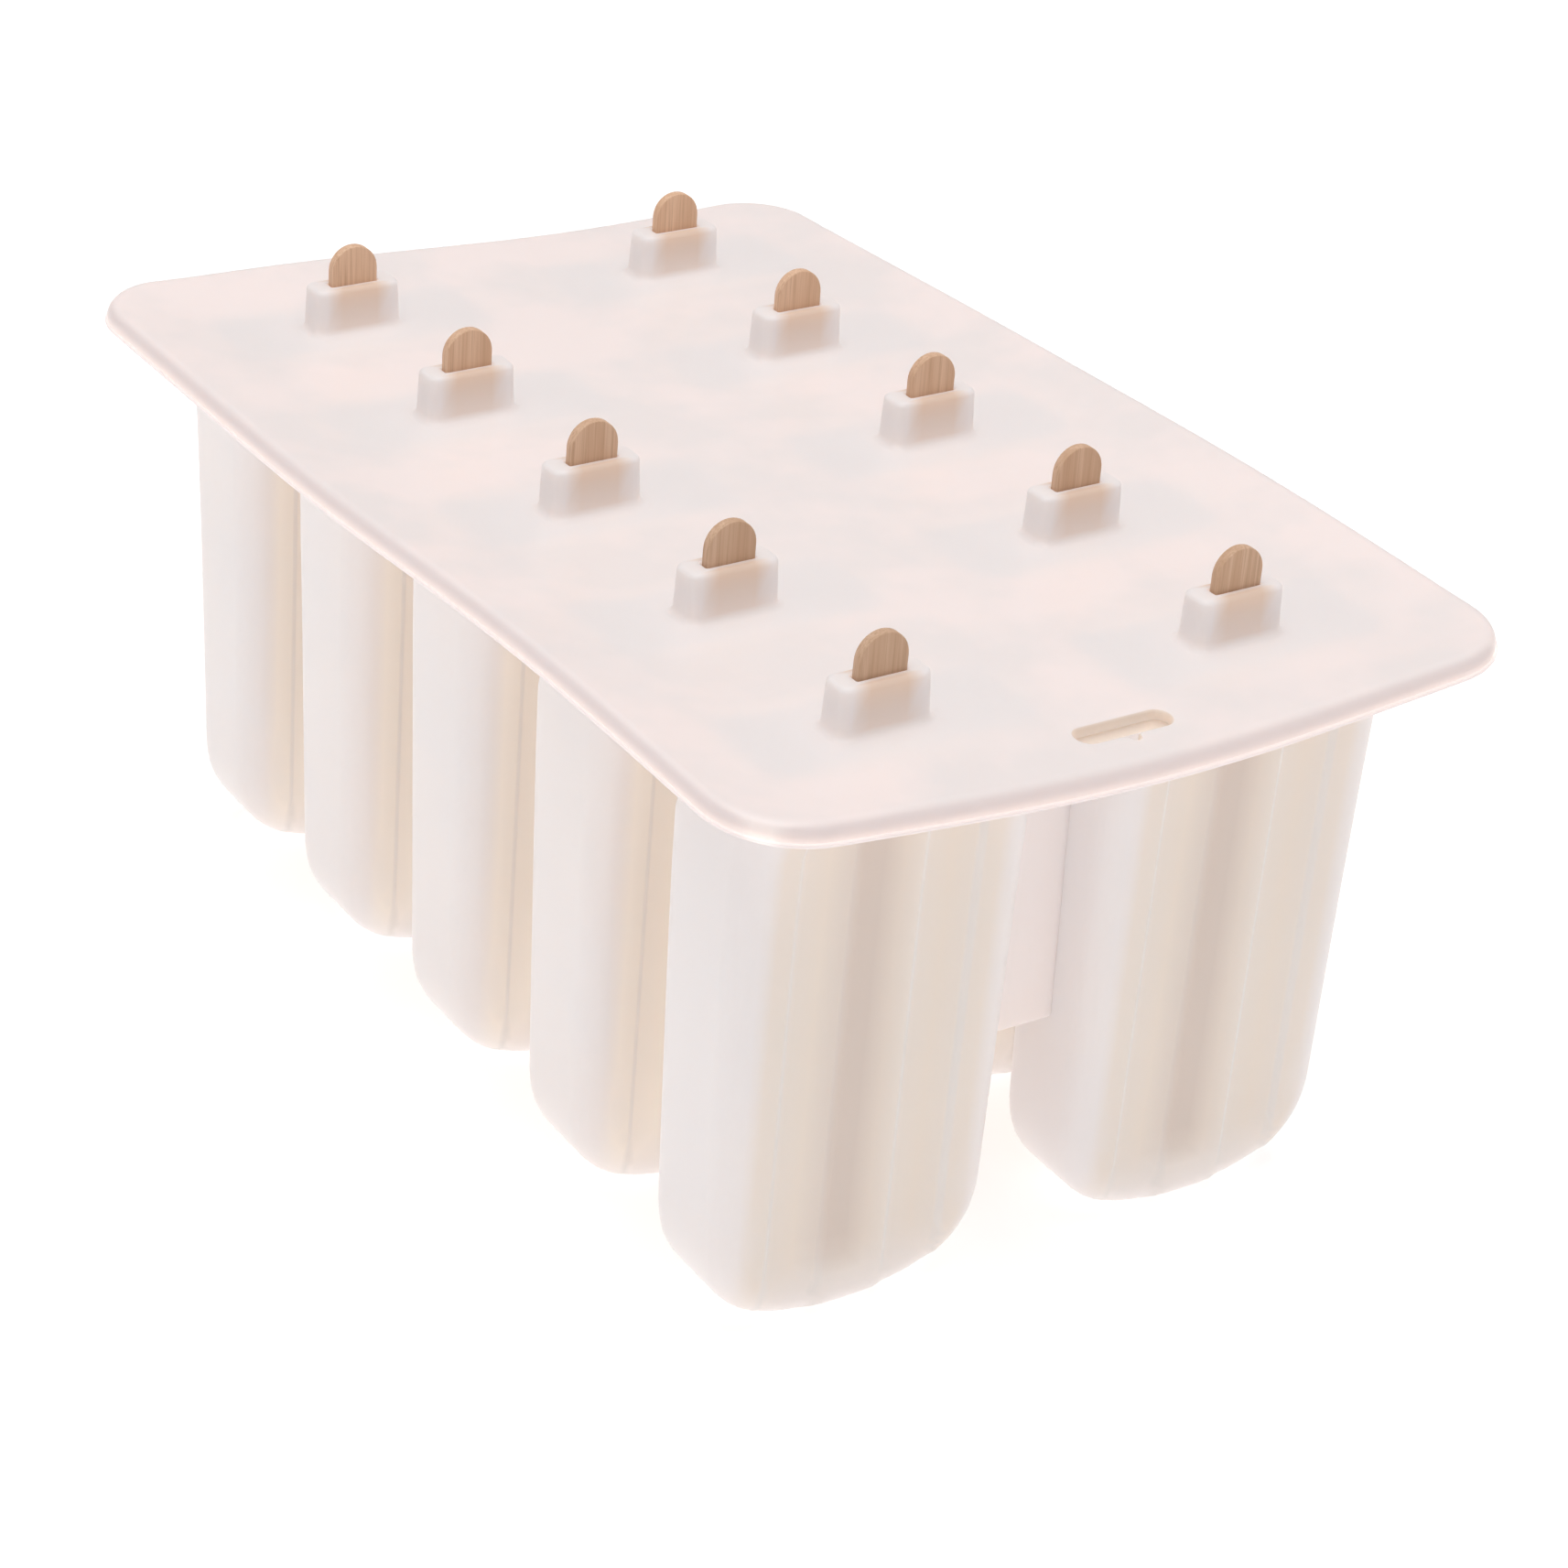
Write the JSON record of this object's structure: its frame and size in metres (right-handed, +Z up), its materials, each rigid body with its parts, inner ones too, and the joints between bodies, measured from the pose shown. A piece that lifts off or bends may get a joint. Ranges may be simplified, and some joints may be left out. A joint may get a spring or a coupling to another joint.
{
  "type": "ice pop mold",
  "caption": "Deep round-bottomed wells hang in rows from a flange under a slotted lid that holds flat wooden sticks upright in them.",
  "frame": {"origin": "middle of the rectangle round the ten wells, on the plane the wells' small flat feet rest on", "axes": "+Z up out of the wells, Y along the lid's long side with the hang slot's end towards -Y, X along the short side"},
  "size_m": [0.158, 0.237, 0.1234],
  "materials": {
    "silicone": "satin, milky and translucent",
    "wood": "plain, sanded"
  },
  "bodies": {
    "root": {"mould_body": "silicone", "lid": "silicone", "stick_1": "wood", "stick_2": "wood", "stick_3": "wood", "stick_4": "wood", "stick_5": "wood", "stick_6": "wood", "stick_7": "wood", "stick_8": "wood", "stick_9": "wood", "stick_10": "wood"}
  },
  "joints": []
}
